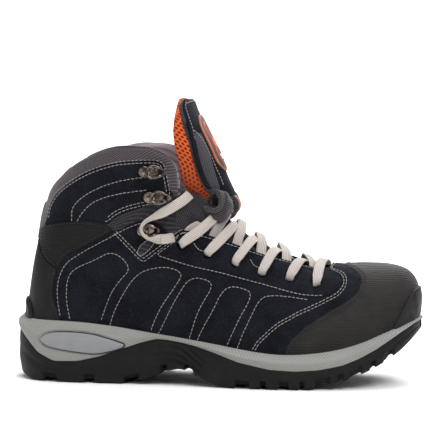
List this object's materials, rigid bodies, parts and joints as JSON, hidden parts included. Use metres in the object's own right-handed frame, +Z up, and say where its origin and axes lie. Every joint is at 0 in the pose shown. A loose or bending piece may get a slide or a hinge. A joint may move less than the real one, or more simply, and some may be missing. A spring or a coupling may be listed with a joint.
{
  "type": "hiking boot",
  "caption": "Mid-height lace-up hiking boot with padded fold-out tongue, lugged rubber outsole, foam midsole and lift-out footbed.",
  "frame": {"origin": "centre of the sole's box on the ground", "axes": "+X towards the toe, +Z up, the outer (lateral) side of the right foot is -Y"},
  "size_m": [0.3108, 0.108, 0.215],
  "materials": {
    "outsole_rubber": "matte black rubber",
    "midsole_foam": "light warm grey moulded foam with a fine faceted texture",
    "heel_insert": "smooth blue-grey foam",
    "stiffener": "plain moulded",
    "board": "pressed fibre and film",
    "footbed_foam": "textile-topped foam",
    "lining_textile": "knitted lining",
    "inner_foam": "open-cell foam",
    "collar_mesh": "taupe-grey diagonal weave over padding",
    "ankle_mesh": "grey mesh",
    "suede": "dark navy suede with pale stitching",
    "ribbed_guard": "charcoal grained synthetic leather",
    "smooth_guard": "black coated leather",
    "webbing": "narrow woven tape",
    "tongue_textile": "padded woven textile",
    "orange_mesh": "orange spacer mesh",
    "badge": "woven label with an orange edge",
    "hook_metal": "antique nickel",
    "lace_textile": "flat woven beige lace",
    "lace_tip": "clear-coated tip"
  },
  "bodies": {
    "boot": {"outsole": "outsole_rubber", "toe_rand": "outsole_rubber", "heel_rand": "outsole_rubber", "midsole": "midsole_foam", "heel_insert_lateral": "heel_insert", "heel_insert_medial": "heel_insert", "shank": "stiffener", "lasting_board": "board", "lining_collar": "lining_textile", "lining_heel": "lining_textile", "lining_forefoot": "lining_textile", "membrane_bootie": "board", "collar_foam": "inner_foam", "heel_counter": "stiffener", "toe_puff": "stiffener", "side_backing": "inner_foam", "collar_mesh": "collar_mesh", "cuff_lateral": "suede", "cuff_medial": "suede", "ankle_mesh_lateral": "ankle_mesh", "ankle_mesh_medial": "ankle_mesh", "heel_patch": "ribbed_guard", "heel_guard": "smooth_guard", "quarter_lateral": "suede", "quarter_medial": "suede", "eyestay_lateral": "suede", "eyestay_medial": "suede", "vamp": "suede", "toe_cap": "ribbed_guard", "gusset_lateral": "ankle_mesh", "gusset_medial": "ankle_mesh", "back_strip": "webbing", "tongue_base": "tongue_textile", "lace_keeper": "webbing", "top_hooks": "hook_metal", "middle_hooks": "hook_metal", "lock_hooks": "hook_metal", "hook_rivets": "hook_metal", "lace": "lace_textile", "lace_tail_lateral": "lace_textile", "lace_tail_medial": "lace_textile", "lace_tips": "lace_tip"},
    "tongue": {"tongue_flap": "suede", "tongue_lining": "orange_mesh", "tongue_badge": "badge"},
    "insole": {"footbed": "footbed_foam"}
  },
  "joints": [
    {"name": "tongue_fold", "type": "hinge", "parent": "boot", "child": "tongue", "pos_m": [0.011, 0, 0.139], "axis": [0, 1, 0], "range_deg": [-4, 40], "stiffness_Nm_per_rad": 0.4},
    {"name": "footbed_lift", "type": "hinge", "parent": "boot", "child": "insole", "pos_m": [0.1245, 0, 0.0415], "axis": [0, 1, 0], "range_deg": [0, 5]}
  ]
}
